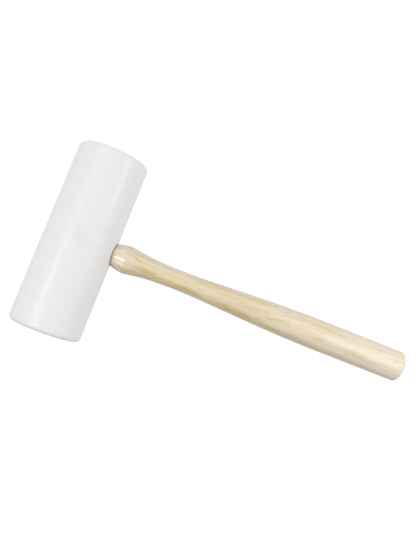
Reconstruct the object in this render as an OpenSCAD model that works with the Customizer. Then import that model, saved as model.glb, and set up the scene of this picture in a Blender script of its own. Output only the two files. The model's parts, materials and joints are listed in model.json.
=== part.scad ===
// Cross-head mallet: a solid white cylinder head on a turned wooden handle.
// The handle's tenon sits in a blind eye that is wider at its bottom. A fox wedge stands in the
// tenon's kerf: as the tenon is driven home, the eye's bottom pushes the wedge in, and the tenon
// spreads and locks. The mallet lies on a flat surface, on the side of its head and the rim of its
// butt. The origin is under the middle of the mallet, on that surface. Sizes are in millimetres.
//
// Every part is drawn in the head's own axes first: +X runs down the handle from the head's
// centre, Y is the head's axis, and Z is up. at_rest() then tips it onto the surface.

/* [Head] */
// Diameter of the head
head_d = 70; // [64:1:76]
// Length of the head, from one striking face to the other
head_len = 182; // [150:1:210]
// Radius of the rounded rim of each striking face
face_round = 3.8; // [1:0.2:6]

/* [Handle] */
// Distance from the head's axis to the end of the butt
handle_reach = 351.5; // [340:0.5:400]
// Diameter of the straight grip
grip_d = 31.75; // [30:0.25:36]
// Distance from the head's axis to the start of the straight grip
grip_start = 270; // [255:1:285]
// Diameter of the narrow neck
neck_d = 20; // [18:0.5:22]
// Distance from the head's axis to the middle of the neck
neck_at = 104; // [98:1:110]
// Diameter of the collar, the ridge beside the head
collar_d = 28.4; // [27:0.2:31]
// Distance from the head's axis to the collar's ridge
collar_at = 47.5; // [44:0.5:50]
// Radius of the rounded rim of the butt
butt_round = 3; // [1:0.5:5]

/* [Eye and tenon] */
// Diameter of the eye's mouth, and of the tenon there
eye_d = 23; // [21:0.5:24]
// Depth of the eye, from the head's surface
eye_depth = 52; // [44:1:58]
// How much wider the eye's radius is at its bottom, where the tenon is spread
eye_flare = 1.2; // [0.8:0.1:1.6]
// Length of the flared stretch of the eye
flare_len = 27; // [20:1:30]
// Room left between the tenon's end and the eye's bottom
end_room = 2; // [1:0.5:4]
// Gap all round between the tenon and the eye
fit_gap = 0.05; // [0.02:0.01:0.1]

/* [Fox wedge] */
// Width of the saw kerf at its closed end
kerf_w = 1.6; // [1.2:0.1:2]
// Distance from the eye's bottom to the kerf's closed end
kerf_len = 33; // [30:1:36]
// Length of the wedge
wedge_len = 29; // [24:1:30]

/* [Hidden] */
$fn = 96;

head_r = head_d / 2;
grip_r = grip_d / 2;
neck_r = neck_d / 2;
collar_r = collar_d / 2;
eye_r = eye_d / 2;
tenon_r = eye_r - fit_gap;
// How far the eye's bottom lies past the head's axis
eye_back = eye_depth - head_r;

// Lengths of the four Bezier handles that shape the neck, along the axis
collar_pull = 14;
neck_pull = 36;
swell_pull = 36;
grip_pull = 80;
// Fall of the first of those handles, towards the axis
collar_drop = 2;
// Length of the small round on the collar's ridge
ridge_round = 4;
// Points on each neck curve and on each rounded rim
curve_points = 24;
round_points = 8;
// Length by which a cutting solid runs past what it cuts, and the tenon stops short of the surface
past = 2;

// The angle at which the handle slopes down, so that head and butt both touch the surface
butt_centre = [handle_reach - butt_round, grip_r - butt_round];
rest_tilt = asin((head_r - butt_round) / norm(butt_centre)) - atan2(butt_centre[1], butt_centre[0]);
// How far the butt reaches from the head's axis, along the surface
butt_x = butt_centre[0] * cos(rest_tilt) + butt_centre[1] * sin(rest_tilt) + butt_round;
// Distance from the middle of the mallet's length back to the head's axis
head_back = (butt_x - head_r) / 2;

function bezier(a, b, c, d, t) =
    pow(1 - t, 3) * a + 3 * pow(1 - t, 2) * t * b + 3 * (1 - t) * t * t * c + pow(t, 3) * d;
function curve(a, b, c, d) = [for (i = [1 : curve_points]) bezier(a, b, c, d, i / curve_points)];
// Points of an arc about a centre, from one angle to another
function arc(centre, r, from, to) = [
    for (i = [0 : round_points])
        let (at = from + (to - from) * i / round_points) centre + r * [cos(at), sin(at)]
];
// Half the kerf's opening, at a height above the eye's bottom, where the wedge has spread it
function kerf_half(height) = kerf_w / 2 + eye_flare * (1 - height / kerf_len);

// Places what is drawn in the head's axes where the mallet lies
module at_rest() {
    translate([-head_back, 0, head_r]) rotate([0, rest_tilt, 0]) children();
}

// Places what is drawn with X as the height above the eye's bottom
module from_bottom() {
    translate([-eye_back, 0, 0]) children();
}

// Turns an outline of [radius, distance along the handle] about the handle's axis
module turned(outline) {
    rotate([0, 90, 0]) rotate_extrude() polygon(outline);
}

// The eye, or the tenon that fills it, between two heights above the eye's bottom
module eye_shape(r, low, high) {
    flared = r + eye_flare * (1 - low / flare_len);
    from_bottom() turned([[0, low], [flared, low], [r, flare_len], [r, high], [0, high]]);
}

// The kerf or the wedge in it: a tapered slab between two heights above the eye's bottom
module slab(low, high, gap) {
    low_half = kerf_half(low) - gap;
    high_half = kerf_half(high) - gap;
    from_bottom() linear_extrude(height = 2 * head_r, center = true)
        polygon([[low, -low_half], [high, -high_half], [high, high_half], [low, low_half]]);
}

module head() {
    rim = [head_r - face_round, head_len / 2 - face_round];
    quarter = arc(rim, face_round, 0, 90);
    mirrored = [for (i = [round_points : -1 : 0]) [quarter[i][0], -quarter[i][1]]];
    color("whitesmoke") at_rest() difference() {
        rotate([-90, 0, 0]) rotate_extrude()
            polygon(concat([[0, -head_len / 2]], mirrored, quarter, [[0, head_len / 2]]));
        eye_shape(eye_r, 0, eye_depth + past);
    }
}

// The collar, neck, swell and grip, from the head's surface to the butt
module handle_body() {
    ridge = [collar_r, collar_at];
    neck = [neck_r, neck_at];
    grip = [grip_r, grip_start];
    cone = ridge - [tenon_r, head_r];
    cone_end = ridge - ridge_round / norm(cone) * cone / 2;
    fall = [-collar_drop, collar_pull];
    fall_start = ridge + ridge_round / norm(fall) * fall / 2;
    turned(concat(
        [[0, 0], [tenon_r, 0], [tenon_r, head_r]],
        [for (i = [0 : round_points]) bezier(cone_end, ridge, ridge, fall_start, i / round_points)],
        curve(fall_start, ridge + fall, neck - [0, neck_pull], neck),
        curve(neck, neck + [0, swell_pull], grip - [0, grip_pull], grip),
        arc([grip_r - butt_round, handle_reach - butt_round], butt_round, 0, 90),
        [[0, handle_reach]]
    ));
}

module handle() {
    color("burlywood") at_rest() difference() {
        union() {
            handle_body();
            eye_shape(tenon_r, end_room, eye_depth - past);
        }
        slab(0, kerf_len, 0);
    }
}

// The wedge, whose rounded edges fill the tenon's width. Its thick end stands on the eye's bottom.
module fox_wedge() {
    color("peru") at_rest() intersection() {
        slab(fit_gap, wedge_len, fit_gap);
        eye_shape(tenon_r, 0, eye_depth);
    }
}

head();
handle();
fox_wedge();
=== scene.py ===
"""The looks of a cross-head mallet: a satin white head on a lacquered, turned ash handle.

Each visible piece is built here as a closed mesh and stands for the CAD node of the same part.
Most pieces are drawn in the handle's own axes, like the CAD: x runs down the handle from the
head's centre, y is the head's axis, and z completes them. at_rest() puts such points where the
mallet lies. All sizes are in metres.
"""

import json
import math

import bmesh
import bpy
import numpy as np
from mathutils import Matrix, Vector, noise


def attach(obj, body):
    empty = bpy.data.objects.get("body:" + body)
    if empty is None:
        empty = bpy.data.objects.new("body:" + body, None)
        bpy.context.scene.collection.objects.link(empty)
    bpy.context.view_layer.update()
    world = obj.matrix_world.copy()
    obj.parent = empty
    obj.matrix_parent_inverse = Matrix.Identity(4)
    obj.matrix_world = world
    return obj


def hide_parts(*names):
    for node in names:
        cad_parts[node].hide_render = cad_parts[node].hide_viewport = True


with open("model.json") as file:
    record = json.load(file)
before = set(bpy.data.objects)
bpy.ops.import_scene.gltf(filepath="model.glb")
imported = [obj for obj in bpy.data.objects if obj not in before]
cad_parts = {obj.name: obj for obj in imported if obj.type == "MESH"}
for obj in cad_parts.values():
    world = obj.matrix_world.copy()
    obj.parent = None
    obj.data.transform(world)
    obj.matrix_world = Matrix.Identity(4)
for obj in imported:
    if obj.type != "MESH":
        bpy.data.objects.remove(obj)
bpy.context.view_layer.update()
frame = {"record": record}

MM = 0.001

# ---------------------------------------------------------------- sizes from the frame
mounts = {mount["name"]: mount for mount in frame["record"]["mounts"]}
face_place = mounts["striking_face_left"]["pos_m"]
HEAD_CENTRE = Vector((face_place[0], 0, face_place[2]))
HEAD_R = face_place[2]
HEAD_HALF = face_place[1]
HANDLE_AXIS = Vector(mounts["grip"]["axis"]).normalized()
GRIP_R = mounts["grip"]["dims"]["r_mm"] * MM
GRIP_MIDDLE = (Vector(mounts["grip"]["pos_m"]) - HEAD_CENTRE).length
GRIP_LENGTH = mounts["grip"]["dims"]["length_mm"] * MM
GRIP_START = GRIP_MIDDLE - GRIP_LENGTH / 2
BUTT_ROUND = 3 * MM
HANDLE_END = GRIP_MIDDLE + GRIP_LENGTH / 2 + BUTT_ROUND

# ---------------------------------------------------------------- sizes that the CAD shares
FACE_ROUND = 3.8 * MM
EYE_R = 11.5 * MM
EYE_BACK = 17 * MM
EYE_FLARE = 1.2 * MM
FLARE_LENGTH = 27 * MM
END_ROOM = 2 * MM
FIT_GAP = 0.05 * MM
KERF_HALF = 0.8 * MM
KERF_LENGTH = 33 * MM
WEDGE_LENGTH = 29 * MM
COLLAR_R = 14.2 * MM
COLLAR_AT = 47.5 * MM
NECK_R = 10 * MM
NECK_AT = 104 * MM
COLLAR_DROP = 2 * MM
COLLAR_PULL = 14 * MM
NECK_PULL = 36 * MM
SWELL_PULL = 36 * MM
GRIP_PULL = 80 * MM
RIDGE_ROUND = 4 * MM


# ---------------------------------------------------------------- placing and mesh helpers
def at_rest(points):
    """Points from the handle's axes to the row frame, where the mallet lies."""
    points = np.asarray(points, float)
    across = np.array((-HANDLE_AXIS.z, 0, HANDLE_AXIS.x))
    placed = np.outer(points[:, 0], np.array(HANDLE_AXIS)) + np.outer(points[:, 2], across)
    placed[:, 1] += points[:, 1]
    return placed + np.array(HEAD_CENTRE)


def new_piece(name, points, faces, node, slot):
    """A closed mesh from points in the handle's axes, which stands for a CAD node."""
    mesh = bpy.data.meshes.new(name)
    mesh.from_pydata(at_rest(points).tolist(), [], faces)
    grain = mesh.attributes.new("grain", "FLOAT_VECTOR", "POINT")
    grain.data.foreach_set("vector", np.asarray(points, np.float32).ravel())
    piece = bpy.data.objects.new(name, mesh)
    bpy.context.scene.collection.objects.link(piece)
    tidy_normals(mesh)
    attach(piece, "root")
    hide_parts(node)
    return piece


def tidy_normals(mesh, sharp=math.radians(40)):
    """Points all faces outwards and shades them smoothly, apart from real edges."""
    work = bmesh.new()
    work.from_mesh(mesh)
    bmesh.ops.recalc_face_normals(work, faces=work.faces)
    work.to_mesh(mesh)
    work.free()
    mesh.shade_smooth()
    mesh.set_sharp_from_angle(angle=sharp)


def ring_faces(first, second, count):
    """Quads between two closed rings of points that start at the given numbers."""
    return [
        (first + i, first + (i + 1) % count, second + (i + 1) % count, second + i)
        for i in range(count)
    ]


def rough(point, size, seed):
    """Smooth noise from about -1 to 1, with features of the given size."""
    return noise.noise(Vector(point) / size + Vector((seed, 2.7 * seed, -1.3 * seed)))


def bezier(a, b, c, d, t):
    """A point on a cubic Bezier curve."""
    a, b, c, d = (np.array(p) for p in (a, b, c, d))
    return (1 - t) ** 3 * a + 3 * (1 - t) ** 2 * t * b + 3 * (1 - t) * t * t * c + t**3 * d


def apply_modifier(piece, kind, **settings):
    """Adds a modifier and applies it, so that the piece's mesh is final."""
    modifier = piece.modifiers.new(kind.title(), kind)
    for name, value in settings.items():
        setattr(modifier, name, value)
    bpy.context.view_layer.objects.active = piece
    bpy.ops.object.modifier_apply(modifier=modifier.name)


# ---------------------------------------------------------------- head
ARC_CELLS = 36
SIDE_CELLS = 116
END_CELLS = 34
RIM_STEPS = 8
FACE_RINGS = 90
# The striking faces' turning grooves: distance between them, half their depth, and the slight
# hollow of the whole face with the depth of its middle
FACE_GROOVE = 1.75 * MM
GROOVE_HALF_DEPTH = 0.02 * MM
FACE_DISH = 0.06 * MM
FACE_MIDDLE = 0.3 * MM
# The square patch of the head's side that holds the eye's mouth: half its side, its rings, and
# how closely they crowd at the mouth
PATCH_HALF = 25 * MM
PATCH_RINGS = 14
PATCH_CROWDING = 1.6
MOUTH_ROUND = 0.9 * MM
MOUTH_STEPS = 6
BORE_RINGS = 12
# How far the head's skin and the sawn ends lie inside the CAD, so that no bump stands proud
SKIN = 0.06 * MM


def head_wave(y, turn):
    """The head's small unevenness along a line on its side, in metres."""
    place = (0.05 * math.cos(turn), y, 0.05 * math.sin(turn))
    return 0.04 * MM * rough(place, 0.030, 3.1) + 0.008 * MM * rough(place, 0.008, 8.2)


def head_side(y, turn, inset=0.0):
    """A point on the head's side, at a distance along its axis and a turn from the handle."""
    r = HEAD_R - SKIN + head_wave(y, turn) - inset
    return (r * math.cos(turn), y, r * math.sin(turn))


def eye_radius(x):
    """The eye's radius at a distance along the handle, wider near its bottom."""
    height = x + EYE_BACK
    return EYE_R + EYE_FLARE * max(0.0, 1 - height / FLARE_LENGTH)


def make_head():
    points, faces = [], []

    def add(place):
        points.append(place)
        return len(points) - 1

    # turns round the head's axis: an arc that holds the eye's mouth, and the rest
    reach = PATCH_HALF / HEAD_R
    arc = np.linspace(-reach, reach, ARC_CELLS + 1)[:-1]
    side = np.linspace(reach, 2 * math.pi - reach, SIDE_CELLS + 1)[:-1]
    turns = np.concatenate([arc, side])
    around = len(turns)
    edge = HEAD_HALF - FACE_ROUND
    stretch = np.linspace(PATCH_HALF, edge, END_CELLS + 1)[1:]
    middle = np.linspace(-PATCH_HALF, PATCH_HALF, ARC_CELLS + 1)
    lengths = np.concatenate([-stretch[::-1], middle, stretch])
    rows = [[add(head_side(y, turn)) for turn in turns] for y in lengths]
    first_row = END_CELLS
    last_row = END_CELLS + ARC_CELLS
    for j in range(len(rows) - 1):
        for i in range(around):
            if first_row <= j < last_row and i < ARC_CELLS:
                continue
            k = (i + 1) % around
            faces.append((rows[j][i], rows[j][k], rows[j + 1][k], rows[j + 1][i]))

    # rounded rims and turned faces at both ends
    for sign, row in ((1, rows[-1]), (-1, rows[0])):
        last = row
        for step in range(1, RIM_STEPS + 1):
            bend = math.pi / 2 * step / RIM_STEPS
            inset = FACE_ROUND * (1 - math.cos(bend))
            y = sign * (edge + FACE_ROUND * math.sin(bend))
            ring = [add(head_side(y, turn, inset)) for turn in turns]
            faces += patch_faces(last, ring)
            last = ring
        face_r = HEAD_R - FACE_ROUND
        for step in range(1, FACE_RINGS):
            r = face_r * (1 - step / FACE_RINGS)
            groove = GROOVE_HALF_DEPTH * (1 - math.cos(2 * math.pi * r / FACE_GROOVE))
            dish = FACE_DISH * (1 - (r / face_r) ** 2)
            y = sign * (HEAD_HALF - groove - dish)
            ring = [add((r * math.cos(turn), y, r * math.sin(turn))) for turn in turns]
            faces += patch_faces(last, ring)
            last = ring
        centre = add((0, sign * (HEAD_HALF - FACE_MIDDLE), 0))
        faces += [(last[i], last[(i + 1) % around], centre) for i in range(around)]

    # the eye: rings that close in on its mouth, a rounded lip, the bore and its bottom
    last = [rows[first_row][i] for i in range(ARC_CELLS)]
    last += [rows[first_row + j][ARC_CELLS] for j in range(ARC_CELLS)]
    last += [rows[last_row][ARC_CELLS - i] for i in range(ARC_CELLS)]
    last += [rows[last_row - j][0] for j in range(ARC_CELLS)]
    spots = []
    for number in last:
        x, y, z = points[number]
        arc_length = HEAD_R * math.atan2(z, x)
        spots.append((y, arc_length, math.atan2(arc_length, y)))
    lip = EYE_R + MOUTH_ROUND
    for step in range(1, PATCH_RINGS + 1):
        share = 1 - (1 - step / PATCH_RINGS) ** PATCH_CROWDING
        ring = []
        for y, arc_length, angle in spots:
            lip_arc = HEAD_R * math.asin(lip * math.sin(angle) / HEAD_R)
            a = y + (lip * math.cos(angle) - y) * share
            b = arc_length + (lip_arc - arc_length) * share
            ring.append(add(head_side(a, b / HEAD_R)))
        faces += patch_faces(last, ring)
        last = ring
    for step in range(1, MOUTH_STEPS + 1):
        bend = math.pi / 2 * step / MOUTH_STEPS
        r = EYE_R + MOUTH_ROUND * (1 - math.sin(bend))
        sunk = MOUTH_ROUND * (1 - math.cos(bend)) + SKIN
        ring = []
        for y, arc_length, angle in spots:
            across, up = r * math.cos(angle), r * math.sin(angle)
            ring.append(add((math.sqrt(HEAD_R**2 - up * up) - sunk, across, up)))
        faces += patch_faces(last, ring)
        last = ring
    for x in np.linspace(HEAD_R - 4 * MM, -EYE_BACK, BORE_RINGS):
        r = eye_radius(x)
        ring = [add((x, r * math.cos(angle), r * math.sin(angle))) for y, b, angle in spots]
        faces += patch_faces(last, ring)
        last = ring
    faces.append(tuple(last))
    return new_piece("mallet_head", points, faces, "head", "white_rubber")


def patch_faces(outer, inner):
    """Quads between two closed rings, given as lists of point numbers."""
    count = len(outer)
    return [
        (outer[i], outer[(i + 1) % count], inner[(i + 1) % count], inner[i])
        for i in range(count)
    ]


# ---------------------------------------------------------------- handle
HANDLE_AROUND = 160
END_RINGS = 16
END_CHAMFER = 0.4 * MM
TENON_RINGS = 21
TENON_TOP = 4 * MM
CONE_POINTS = 11
RIDGE_POINTS = 8
NECK_POINTS = 60
SWELL_POINTS = 150
GRIP_POINTS = 69
BUTT_STEPS = 8
BUTT_RINGS = 24
# The dimple that the lathe's centre left in the butt: its radius and slope
DIMPLE_R = 1.6 * MM
DIMPLE_SLOPE = 0.9
# How far past the collar the fibres show fully through the lacquer
FIBRE_FADE = 15 * MM
# Faces with more sides than this are the kerf's walls and the middles of the two ends
WALL_SIDES = 8


def steps(count):
    """Even steps from 0 up to, but not including, 1."""
    return np.linspace(0, 1, count + 1)[:-1]


def handle_outline():
    """(distance, radius) down the handle's outside, from the head's surface to the butt."""
    ridge = np.array((COLLAR_AT, COLLAR_R))
    root = np.array((HEAD_R, EYE_R))
    neck = np.array((NECK_AT, NECK_R))
    grip = np.array((GRIP_START, GRIP_R))
    cone = ridge - root
    fall = np.array((COLLAR_PULL, -COLLAR_DROP))
    cone_end = ridge - RIDGE_ROUND / np.linalg.norm(cone) * cone / 2
    fall_start = ridge + RIDGE_ROUND / np.linalg.norm(fall) * fall / 2
    outline = [root + (cone_end - root) * t for t in steps(CONE_POINTS)]
    outline += [bezier(cone_end, ridge, ridge, fall_start, t) for t in steps(RIDGE_POINTS)]
    outline += [
        bezier(fall_start, ridge + fall, neck - (NECK_PULL, 0), neck, t)
        for t in steps(NECK_POINTS)
    ]
    outline += [
        bezier(neck, neck + (SWELL_PULL, 0), grip - (GRIP_PULL, 0), grip, t)
        for t in steps(SWELL_POINTS)
    ]
    straight = np.linspace(GRIP_START, HANDLE_END - BUTT_ROUND, GRIP_POINTS + 1)[:-1]
    outline += [np.array((u, GRIP_R)) for u in straight]
    return outline


def radius_at(u):
    """The radius of the handle's turned outline at a distance from the head's centre."""
    distances, radii = zip(*handle_outline())
    return float(np.interp(u, distances, radii))


def handle_relief(u, turn, r):
    """How far the lacquered wood stands off its turned outline, in metres."""
    place = (u / 14, r * math.cos(turn), r * math.sin(turn))
    # the lacquer lies thicker on the cone and hides the fibres there
    past_collar = min(1.0, max(0.0, (u - COLLAR_AT) / FIBRE_FADE))
    fibre = rough(place, 0.0011, 4.4) * (0.2 + 0.8 * past_collar)
    swell = rough((u, 0.02 * math.cos(turn), 0.02 * math.sin(turn)), 0.045, 6.3)
    return 0.015 * MM * fibre + 0.06 * MM * swell - 0.05 * MM


def make_handle():
    points, faces, rings = [], [], []
    turns = np.linspace(0, 2 * math.pi, HANDLE_AROUND + 1)[:-1]

    def add_ring(places):
        start = len(points)
        points.extend(places)
        if rings:
            faces.extend(ring_faces(rings[-1], start, HANDLE_AROUND))
        rings.append(start)

    # the tenon: a sawn end with a small chamfer, and the flared stretch
    end = END_ROOM - EYE_BACK
    for step in range(1, END_RINGS):
        share = step / END_RINGS
        ring = []
        for turn in turns:
            r = (eye_radius(end) - FIT_GAP - END_CHAMFER) * share
            y, z = r * math.cos(turn), r * math.sin(turn)
            ring.append((end + SKIN + 0.05 * MM * rough((y, z, 0), 0.0008, 1.9), y, z))
        add_ring(ring)
    lowest = end + SKIN + END_CHAMFER
    for x in (end + SKIN, *np.linspace(lowest, HEAD_R - TENON_TOP, TENON_RINGS)):
        r = eye_radius(x) - FIT_GAP - max(0.0, lowest - x)
        add_ring([(x, r * math.cos(turn), r * math.sin(turn)) for turn in turns])

    # the turned outline, then the butt's rounded rim and its flat end with the lathe's dimple
    for u, r in handle_outline():
        ring = []
        for turn in turns:
            stand = r + handle_relief(u, turn, r)
            ring.append((u, stand * math.cos(turn), stand * math.sin(turn)))
        add_ring(ring)
    for step in range(BUTT_STEPS + 1):
        bend = math.pi / 2 * step / BUTT_STEPS
        u = HANDLE_END - BUTT_ROUND + BUTT_ROUND * math.sin(bend)
        r = GRIP_R - BUTT_ROUND + BUTT_ROUND * math.cos(bend)
        ring = []
        for turn in turns:
            stand = r + handle_relief(u, turn, r) * math.cos(bend)
            ring.append((u - 0.02 * MM, stand * math.cos(turn), stand * math.sin(turn)))
        add_ring(ring)
    flat = GRIP_R - BUTT_ROUND
    for step in range(1, BUTT_RINGS):
        r = flat * (1 - step / BUTT_RINGS)
        dimple = max(0.0, DIMPLE_R - r) * DIMPLE_SLOPE
        ring = []
        for turn in turns:
            y, z = r * math.cos(turn), r * math.sin(turn)
            fibre = 0.03 * MM * rough((y, z, 0), 0.0009, 5.9)
            ring.append((HANDLE_END - 0.05 * MM - dimple + fibre, y, z))
        add_ring(ring)
    faces.append(tuple(range(rings[0], rings[0] + HANDLE_AROUND))[::-1])
    faces.append(tuple(range(rings[-1], rings[-1] + HANDLE_AROUND)))
    return new_piece("mallet_handle", points, faces, "handle", "pale_ash")


# ---------------------------------------------------------------- wedge
def mapped_box(a_values, b_values, c_values, place):
    """Points and faces of a closed box whose three sets of grid lines are mapped by place()."""
    points, numbers, faces = [], {}, []

    def at(i, j, k):
        if (i, j, k) not in numbers:
            numbers[(i, j, k)] = len(points)
            points.append(place(a_values[i], b_values[j], c_values[k]))
        return numbers[(i, j, k)]

    na, nb, nc = len(a_values) - 1, len(b_values) - 1, len(c_values) - 1
    for i in range(na):
        for j in range(nb):
            for k in (0, nc):
                faces.append((at(i, j, k), at(i + 1, j, k), at(i + 1, j + 1, k), at(i, j + 1, k)))
    for i in range(na):
        for k in range(nc):
            for j in (0, nb):
                faces.append((at(i, j, k), at(i + 1, j, k), at(i + 1, j, k + 1), at(i, j, k + 1)))
    for j in range(nb):
        for k in range(nc):
            for i in (0, na):
                faces.append((at(i, j, k), at(i, j + 1, k), at(i, j + 1, k + 1), at(i, j, k + 1)))
    return points, faces


def kerf_half(x):
    """Half the kerf's opening at a distance along the handle."""
    return KERF_HALF + EYE_FLARE * (1 - (x + EYE_BACK) / KERF_LENGTH)


def kerf_cutter():
    """The kerf as a solid, which only cuts the handle."""
    def place(a, b, c):
        x = -EYE_BACK + KERF_LENGTH * a
        return (x, b * kerf_half(x), c * HEAD_R)

    points, faces = mapped_box((0, 1), (-1, 1), (-1, 1), place)
    mesh = bpy.data.meshes.new("kerf")
    mesh.from_pydata(at_rest(points).tolist(), [], faces)
    tidy_normals(mesh)
    solid = bpy.data.objects.new("kerf", mesh)
    bpy.context.scene.collection.objects.link(solid)
    return solid


def cut(piece, solid):
    """Cuts a solid out of a piece and deletes it."""
    apply_modifier(piece, "BOOLEAN", operation="DIFFERENCE", solver="EXACT", object=solid)
    bpy.data.objects.remove(solid)
    fan_walls(piece.data)
    tidy_normals(piece.data)


def fan_walls(mesh):
    """Splits each many-sided face round a middle point, so that no triangle cuts off a corner."""
    work = bmesh.new()
    work.from_mesh(mesh)
    walls = [face for face in work.faces if len(face.verts) > WALL_SIDES]
    middles = bmesh.ops.poke(work, faces=walls, center_mode="MEAN")["verts"]
    grain = work.verts.layers.float_vector["grain"]
    for middle in middles:
        rim = [edge.other_vert(middle)[grain] for edge in middle.link_edges]
        middle[grain] = sum(rim, Vector()) / len(rim)
    work.to_mesh(mesh)
    work.free()


def make_wedge():
    def place(a, b, c):
        x = FIT_GAP - EYE_BACK + (WEDGE_LENGTH - FIT_GAP) * a
        y = b * (kerf_half(x) - FIT_GAP)
        z = c * math.sqrt((eye_radius(x) - FIT_GAP) ** 2 - y * y)
        if a == 0:
            x += SKIN * (1 + rough((y, z, 0), 0.0009, 7.7))
        return (x, y, z)

    grid = mapped_box(np.linspace(0, 1, 40), np.linspace(-1, 1, 8), np.linspace(-1, 1, 60), place)
    return new_piece("tenon_wedge", *grid, "fox_wedge", "hardwood")


# ---------------------------------------------------------------- materials
# The slanted grey spot on the head: its middle, turn, half sizes and strength
GREY_SPOT_PLACE = HEAD_CENTRE + Vector((2 * MM, 3.5 * MM, HEAD_R))
GREY_SPOT_TURN = math.radians(27)
GREY_SPOT_SIZE = (9 * MM, 17 * MM, 14 * MM)
GREY_SPOT_DEPTH = 0.09
# The tree's growth rings: depth of their middle below the handle, its place to the side as a
# share of that, their spacing, how far they wander, and their slant along the handle
PITH_AWAY = 90 * MM
PITH_SIDE = -0.45
RING_STEP = 2.4 * MM
RING_WANDER = 7 * MM
RING_SLOPE = 0.006
# Brown streaks in the wood: distance down the handle, turn from the top towards -Y in degrees,
# slant towards +Y in degrees, half length, half width and strength
BROWN_STREAKS = [
    (69 * MM, 22, -1.0, 21 * MM, 3.0 * MM, 1.00),
    (98 * MM, 28, -1.0, 32 * MM, 3.0 * MM, 0.55),
    (57 * MM, -16, -14.0, 6 * MM, 1.6 * MM, 0.60),
    (114 * MM, 34, -2.5, 22 * MM, 2.4 * MM, 0.45),
    (163 * MM, 42, -2.0, 30 * MM, 3.0 * MM, 0.60),
    (205 * MM, 50, -1.0, 26 * MM, 2.2 * MM, 0.45),
    (243 * MM, 2, 0.5, 24 * MM, 2.0 * MM, 0.45),
    (226 * MM, 44, 1.0, 22 * MM, 2.0 * MM, 0.40),
]


class Nodes:
    """A node tree, and short calls that add nodes to it."""

    def __init__(self, tree):
        self.tree = tree

    def feed(self, socket, value):
        if isinstance(value, bpy.types.NodeSocket):
            self.tree.links.new(value, socket)
        else:
            socket.default_value = value

    def node(self, kind, inputs=(), **settings):
        made = self.tree.nodes.new(kind)
        for name, value in settings.items():
            setattr(made, name, value)
        for key, value in dict(inputs).items():
            self.feed(made.inputs[key], value)
        return made

    def attribute(self, name):
        return self.node("ShaderNodeAttribute", attribute_name=name).outputs["Vector"]

    def place(self):
        return self.node("ShaderNodeTexCoord").outputs["Object"]

    def stretched(self, vector, scale, move=(0, 0, 0)):
        inputs = {"Vector": vector, "Scale": scale, "Location": move}
        return self.node("ShaderNodeMapping", inputs).outputs["Vector"]

    def noise(self, vector, scale, detail=3.0, rough=0.5, distortion=0.0):
        inputs = {"Vector": vector, "Scale": scale, "Detail": detail, "Roughness": rough}
        inputs["Distortion"] = distortion
        return self.node("ShaderNodeTexNoise", inputs).outputs["Fac"]

    def length(self, vector):
        """The distance of a place from the origin."""
        return self.node("ShaderNodeVectorMath", {0: vector}, operation="LENGTH").outputs["Value"]

    def split(self, vector):
        """The three parts of a place."""
        return self.node("ShaderNodeSeparateXYZ", {"Vector": vector}).outputs

    def math(self, operation, a, b=0.0, clamp=False):
        made = self.node("ShaderNodeMath", operation=operation, use_clamp=clamp)
        self.feed(made.inputs[0], a)
        self.feed(made.inputs[1], b)
        return made.outputs[0]

    def span(self, value, low, high, to_low=0.0, to_high=1.0):
        """Maps a value smoothly from one span to another."""
        inputs = {"Value": value, "From Min": low, "From Max": high}
        inputs.update({"To Min": to_low, "To Max": to_high})
        made = self.node("ShaderNodeMapRange", inputs, interpolation_type="SMOOTHSTEP")
        return made.outputs["Result"]

    def spot(self, vector, centre, size, turn=0.0):
        """1 in the middle of an oval spot in space, falling smoothly to 0 at its edge."""
        oval = self.node("ShaderNodeMapping", {"Vector": vector}, vector_type="TEXTURE")
        self.feed(oval.inputs["Location"], centre)
        self.feed(oval.inputs["Rotation"], (0, 0, turn))
        self.feed(oval.inputs["Scale"], size)
        return self.span(self.length(oval.outputs["Vector"]), 0.25, 1.0, 1, 0)

    def mix(self, share, a, b, blend="MIX"):
        made = self.node("ShaderNodeMix", data_type="RGBA", blend_type=blend)
        self.feed(made.inputs["Factor"], share)
        for key, value in (("A", a), ("B", b)):
            socket = [s for s in made.inputs if s.name == key and s.type == "RGBA"][0]
            self.feed(socket, value if isinstance(value, bpy.types.NodeSocket) else (*value, 1))
        return [s for s in made.outputs if s.type == "RGBA"][0]


class Shader(Nodes):
    """A material, whose surface takes its inputs from nodes."""

    def __init__(self, name):
        self.material = bpy.data.materials.new(name)
        self.material.use_nodes = True
        super().__init__(self.material.node_tree)
        self.surface = self.tree.nodes["Principled BSDF"]

    def set(self, name, value):
        """Sets one of the surface's inputs to a value or to another node's output."""
        self.feed(self.surface.inputs[name], value)

    def bump(self, height, distance, strength=1.0):
        inputs = {"Height": height, "Distance": distance, "Strength": strength}
        self.set("Normal", self.node("ShaderNodeBump", inputs).outputs["Normal"])


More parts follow.
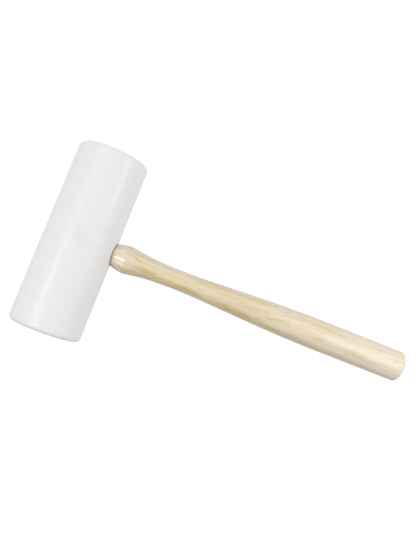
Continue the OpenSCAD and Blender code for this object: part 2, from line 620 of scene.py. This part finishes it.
def white_rubber():
    """Satin white, faintly mottled, with a slanted grey spot on top and scuffs along both rims."""
    shader = Shader("white_rubber")
    place = shader.place()
    cloud = shader.noise(place, 16, 3, 0.5)
    patch = shader.noise(place, 24, 1, 0.5)
    colour = shader.mix(shader.span(cloud, 0.25, 0.75), (0.798, 0.797, 0.790), (0.806, 0.801, 0.800))
    colour = shader.mix(shader.span(patch, 0.3, 0.9, 0, 0.3), colour, (0.785, 0.783, 0.775))

    # the spot: a slanted oval where the rubber is greyer
    grey_spot = shader.spot(place, GREY_SPOT_PLACE, GREY_SPOT_SIZE, GREY_SPOT_TURN)
    grey_spot = shader.math("MULTIPLY", grey_spot, shader.span(patch, 0.25, 0.65, 0.6, 1.0))
    colour = shader.mix(shader.math("MULTIPLY", grey_spot, GREY_SPOT_DEPTH), colour, (0.30, 0.30, 0.29))

    # scuffs along the rims of the striking faces
    along = shader.math("ABSOLUTE", shader.split(place)[1])
    rim = shader.span(along, HEAD_HALF - 5 * MM, HEAD_HALF - 1 * MM)
    scuff = shader.span(shader.noise(place, 420, 5, 0.65, 0.8), 0.50, 0.72, 0, 0.10)
    colour = shader.mix(shader.math("MULTIPLY", rim, scuff), colour, (0.35, 0.34, 0.32))

    shader.set("Base Color", colour)
    shader.set("Roughness", shader.span(patch, 0.3, 0.7, 0.20, 0.23))
    shader.set("IOR", 1.3)
    lines = shader.noise(shader.stretched(place, (30, 1400, 30)), 1, 2)
    shader.bump(lines, 0.00002, 0.12)
    return shader.material


def pale_ash():
    """Lacquered wood, cut from rings about a distant pith, so streaks and long ovals show."""
    shader = Shader("pale_ash")
    grain = shader.attribute("grain")
    along, across, height = shader.split(grain)

    # growth rings, bent by slow noise: a dark, porous start and a pale rest
    wander = shader.noise(shader.stretched(grain, (7, 34, 34)), 1, 2)
    away = shader.stretched(grain, (0, 1, 1), (0, PITH_AWAY * PITH_SIDE, PITH_AWAY))
    depth = shader.math("ADD", shader.length(away), shader.math("MULTIPLY", wander, RING_WANDER))
    depth = shader.math("ADD", depth, shader.math("MULTIPLY", along, RING_SLOPE))
    ring = shader.math("FRACT", shader.math("DIVIDE", depth, RING_STEP))
    early = shader.math("MULTIPLY", shader.span(ring, 0.0, 0.08), shader.span(ring, 0.40, 0.10))
    layer = shader.math("MULTIPLY", depth, 160)
    tone = shader.noise(shader.node("ShaderNodeCombineXYZ", {"X": layer}).outputs[0], 1, 2)

    fibre = shader.noise(shader.stretched(grain, (40, 1500, 1500)), 1, 4, 0.6)
    streak = shader.noise(shader.stretched(grain, (13, 300, 300)), 1, 4, 0.62)
    dash = shader.noise(shader.stretched(grain, (70, 620, 620)), 1, 3, 0.6)
    pores = shader.noise(shader.stretched(grain, (110, 3200, 3200)), 1, 2, 0.6)
    cloud = shader.noise(shader.stretched(grain, (9, 80, 80)), 1, 3)
    fade = shader.span(shader.noise(shader.stretched(grain, (16, 120, 120)), 1, 2), 0.3, 0.65)

    colour = shader.mix(shader.span(cloud, 0.3, 0.7), (0.725, 0.604, 0.380), (0.775, 0.664, 0.456))
    paler = shader.span(along, 0.5 * GRIP_START, HANDLE_END, 0, 0.65)
    colour = shader.mix(paler, colour, (0.87, 0.79, 0.69))
    paler = shader.span(along, COLLAR_AT + 12 * MM, COLLAR_AT - 4 * MM, 0, 0.5)
    colour = shader.mix(paler, colour, (0.88, 0.77, 0.62))
    colour = shader.mix(shader.span(tone, 0.35, 0.70, 0, 0.30), colour, (0.68, 0.53, 0.30))
    early_share = shader.math("MULTIPLY", early, shader.math("MULTIPLY", fade, 0.55))
    colour = shader.mix(early_share, colour, (0.55, 0.39, 0.15))
    colour = shader.mix(shader.span(streak, 0.48, 0.66, 0, 0.50), colour, (0.60, 0.45, 0.22))
    colour = shader.mix(shader.span(streak, 0.50, 0.34, 0, 0.35), colour, (0.86, 0.78, 0.64))
    dash_share = shader.math("MULTIPLY", shader.span(dash, 0.56, 0.70, 0, 0.55), fade)
    colour = shader.mix(dash_share, colour, (0.50, 0.35, 0.15))
    brown = 0.0
    for down, turn, slant, half_length, half_width, strength in BROWN_STREAKS:
        r = radius_at(down)
        turn = math.radians(turn)
        centre = (down, -r * math.sin(turn), r * math.cos(turn))
        size = (half_length, half_width, 2.5 * half_width)
        shape = shader.spot(grain, centre, size, math.radians(slant))
        brown = shader.math("MAXIMUM", brown, shader.math("MULTIPLY", shape, strength))
    brown = shader.math("MULTIPLY", brown, shader.span(dash, 0.30, 0.60, 0.35, 1.0))
    colour = shader.mix(brown, colour, (0.62, 0.44, 0.10))
    colour = shader.mix(shader.span(fibre, 0.45, 0.78, 0, 0.25), colour, (0.62, 0.48, 0.29))
    pore_share = shader.math("MULTIPLY", shader.span(pores, 0.60, 0.72, 0, 0.5), early)
    colour = shader.mix(pore_share, colour, (0.36, 0.22, 0.10))

    # end grain on the butt, a painted highlight on its rounded rim, and painted shade where the
    # handle enters the head
    end_grain = shader.span(along, HANDLE_END - 0.8 * MM, HANDLE_END - 0.2 * MM, 0, 0.35)
    colour = shader.mix(end_grain, colour, (0.50, 0.36, 0.20))
    # painted highlight: the butt's rounded rim is painted paler than the wood beside it
    rim_highlight = shader.span(along, HANDLE_END - 4 * MM, HANDLE_END - 1.5 * MM, 0, 0.35)
    rim_highlight = shader.math("MULTIPLY", rim_highlight, shader.math("SUBTRACT", 0.35, end_grain))
    colour = shader.mix(rim_highlight, colour, (0.86, 0.80, 0.70))
    # painted shade: the wood is painted dark brown within about 1.5 mm of the head's surface, where
    # the joint lies in shade
    from_head = shader.length(shader.stretched(grain, (1, 0, 1)))
    joint_shade = shader.span(from_head, HEAD_R + 0.2 * MM, HEAD_R + 1.5 * MM, 1, 0)
    colour = shader.mix(joint_shade, colour, (0.33, 0.19, 0.08))

    shader.set("Base Color", colour)
    shader.set("Roughness", 0.45)
    shader.set("Coat Weight", 1.0)
    handled = shader.span(along, 0.5 * GRIP_START, GRIP_START + 30 * MM, 0.08, 0.42)
    shader.set("Coat Roughness", shader.math("ADD", handled, shader.span(cloud, 0.3, 0.7, 0, 0.04)))
    shader.set("Coat IOR", 1.85)
    shader.bump(shader.math("SUBTRACT", fibre, pore_share), 0.00006, 0.3)
    return shader.material


def dark_hardwood():
    shader = Shader("dark_hardwood")
    grain = shader.attribute("grain")
    fibre = shader.noise(shader.stretched(grain, (60, 1500, 1500)), 1, 4, 0.6)
    colour = shader.mix(shader.span(fibre, 0.3, 0.7), (0.30, 0.17, 0.08), (0.46, 0.30, 0.16))
    shader.set("Base Color", colour)
    shader.set("Roughness", 0.6)
    shader.bump(fibre, 0.0001, 0.5)
    return shader.material


def dress(piece, material):
    piece.data.materials.clear()
    piece.data.materials.append(material)


# ---------------------------------------------------------------- studio and camera
# The backdrop: radius of its flat floor, radius of the bend up, height of its top, and points
# round it and along each stretch
FLOOR_R = 2.5
WALL_ROUND = 1.5
CEILING = 5.0
BACKDROP_AROUND = 96
FLOOR_STEPS = 11
DOME_STEPS = 15
# Brightness of the air towards each side, above and below the floor's level. "upright" is
# straight up in the first and straight down in the second.
AIR_ABOVE = {"left": 0.65, "right": 0.65, "back": 0.40, "front": 0.10, "upright": 0.65}
AIR_BELOW = {"left": 0.63, "right": 0.71, "back": 0.40, "front": 0.0, "upright": 0.46}
# Each panel's name, tilt from straight up towards +X in degrees, distance from the head,
# place along the head's axis, length along that axis, size across it, and brightness
PANELS = [
    ("left_panel", -34, 0.95, -0.21, 0.50, 0.19, 5.8),
    ("left_glow", -33, 0.95, 0.24, 0.36, 0.20, 2.2),
    ("right_panel", 57, 0.61, 0.18, 0.18, 0.09, 7.0),
    ("right_glow", 57, 0.61, 0.00, 0.16, 0.09, 2.6),
]
# The camera: sensor width and focal length in millimetres, nearest distance, place in metres, and
# turn about X, Y and Z in degrees
CAMERA_SENSOR = 36
CAMERA_LENS = 39.39
CAMERA_NEAR = 0.01
CAMERA_PLACE = (-0.07938, -0.03065, 0.60875)
CAMERA_TURN = (3.2875, -6.3693, 21.119)
# Panels that only glossy surfaces reflect, for the line and the sheen on the collar's cone:
# name, place, length, height and brightness
GLOSS_PANELS = [
    ("cone_line", (-0.48, -0.25, 0.90), 0.14, 0.17, 8.0),
    ("cone_sheen", (-0.56, -0.72, 0.57), 0.40, 0.50, 1.4),
]


def make_backdrop():
    """A pale floor that curves up into walls and a ceiling, seen only by the camera."""
    profile = [(r, 0) for r in np.linspace(0, FLOOR_R, FLOOR_STEPS + 1)[1:]]
    for bend in np.linspace(0, math.pi / 2, FLOOR_STEPS + 1)[1:]:
        r = FLOOR_R + WALL_ROUND * math.sin(bend)
        profile.append((r, WALL_ROUND * (1 - math.cos(bend))))
    for bend in np.linspace(0, math.pi / 2, DOME_STEPS + 1)[1:-1]:
        r = (FLOOR_R + WALL_ROUND) * math.cos(bend)
        profile.append((r, WALL_ROUND + (CEILING - WALL_ROUND) * math.sin(bend)))
    count = BACKDROP_AROUND
    points = [(0, 0, 0)]
    for r, z in profile:
        for i in range(count):
            turn = 2 * math.pi * i / count
            points.append((r * math.cos(turn), r * math.sin(turn), z))
    points.append((0, 0, CEILING))
    faces = [(0, 1 + i, 1 + (i + 1) % count) for i in range(count)]
    for j in range(len(profile) - 1):
        faces += ring_faces(1 + (j + 1) * count, 1 + j * count, count)
    last = 1 + (len(profile) - 1) * count
    faces += [(last + (i + 1) % count, last + i, len(points) - 1) for i in range(count)]
    mesh = bpy.data.meshes.new("studio_backdrop")
    mesh.from_pydata(points, [], faces)
    mesh.shade_smooth()
    backdrop = bpy.data.objects.new("studio_backdrop", mesh)
    bpy.context.scene.collection.objects.link(backdrop)
    backdrop.visible_diffuse = False
    backdrop.visible_glossy = False
    backdrop.visible_transmission = False
    backdrop.visible_shadow = False
    shader = Shader("studio_backdrop")
    shader.set("Base Color", (0.08, 0.08, 0.08, 1))
    shader.set("Roughness", 1.0)
    shader.set("Specular IOR Level", 0.0)
    shader.set("Emission Color", (1, 1, 1, 1))
    shader.set("Emission Strength", 0.95)
    from_behind = shader.node("ShaderNodeNewGeometry").outputs["Backfacing"]
    clear = shader.node("ShaderNodeBsdfTransparent").outputs["BSDF"]
    shown = shader.node("ShaderNodeMixShader", {0: from_behind, 2: clear})
    shader.feed(shown.inputs[1], shader.surface.outputs["BSDF"])
    shader.feed(shader.tree.nodes["Material Output"].inputs["Surface"], shown.outputs["Shader"])
    dress(backdrop, shader.material)


def make_air():
    """Soft light from all round, with its own brightness towards each side."""
    world = bpy.data.worlds.new("studio_air")
    world.use_nodes = True
    bpy.context.scene.world = world
    air = Nodes(world.node_tree)
    towards = air.node("ShaderNodeTexCoord").outputs["Generated"]
    x, y, z = air.split(towards)
    total = 0.0
    for side, amounts in ((1, AIR_ABOVE), (-1, AIR_BELOW)):
        there = air.math("GREATER_THAN", air.math("MULTIPLY", z, side), 0)
        parts = {
            "right": (x, 1),
            "left": (x, -1),
            "back": (y, 1),
            "front": (y, -1),
            "upright": (z, side),
        }
        for name, (part, sign) in parts.items():
            share = air.math("MAXIMUM", air.math("MULTIPLY", part, sign), 0)
            share = air.math("MULTIPLY", share, there)
            total = air.math("ADD", total, air.math("MULTIPLY", share, amounts[name]))
    air.feed(world.node_tree.nodes["Background"].inputs["Color"], total)


def soft_light(name, place, target, length, height, radiance):
    """A soft rectangular light; its length is level and its height is upright."""
    lamp = bpy.data.lights.new(name, "AREA")
    lamp.shape = "RECTANGLE"
    lamp.size, lamp.size_y = length, height
    lamp.energy = radiance * math.pi * length * height
    light = bpy.data.objects.new(name, lamp)
    light.location = place
    light.rotation_euler = (Vector(target) - Vector(place)).to_track_quat("-Z", "Y").to_euler()
    light.visible_camera = False
    bpy.context.scene.collection.objects.link(light)
    return light


def make_studio():
    make_backdrop()
    make_air()
    for name, tilt, distance, y, length, height, radiance in PANELS:
        level = HEAD_CENTRE + Vector((0, y, 0))
        turn = math.radians(tilt)
        place = level + distance * Vector((math.sin(turn), 0, math.cos(turn)))
        soft_light(name, place, level, length, height, radiance)
    for name, place, length, height, radiance in GLOSS_PANELS:
        light = soft_light(name, place, HEAD_CENTRE, length, height, radiance)
        light.visible_diffuse = False
    bpy.context.scene.view_settings.view_transform = "Standard"


def make_camera():
    camera = bpy.data.cameras.new("camera")
    camera.sensor_width = CAMERA_SENSOR
    camera.lens = CAMERA_LENS
    camera.clip_start = CAMERA_NEAR
    eye = bpy.data.objects.new("camera", camera)
    eye.location = CAMERA_PLACE
    eye.rotation_euler = [math.radians(angle) for angle in CAMERA_TURN]
    bpy.context.scene.collection.objects.link(eye)
    bpy.context.scene.camera = eye


make_camera()
head = make_head()
handle = make_handle()
cut(handle, kerf_cutter())
wedge = make_wedge()
dress(head, white_rubber())
dress(handle, pale_ash())
dress(wedge, dark_hardwood())
make_studio()
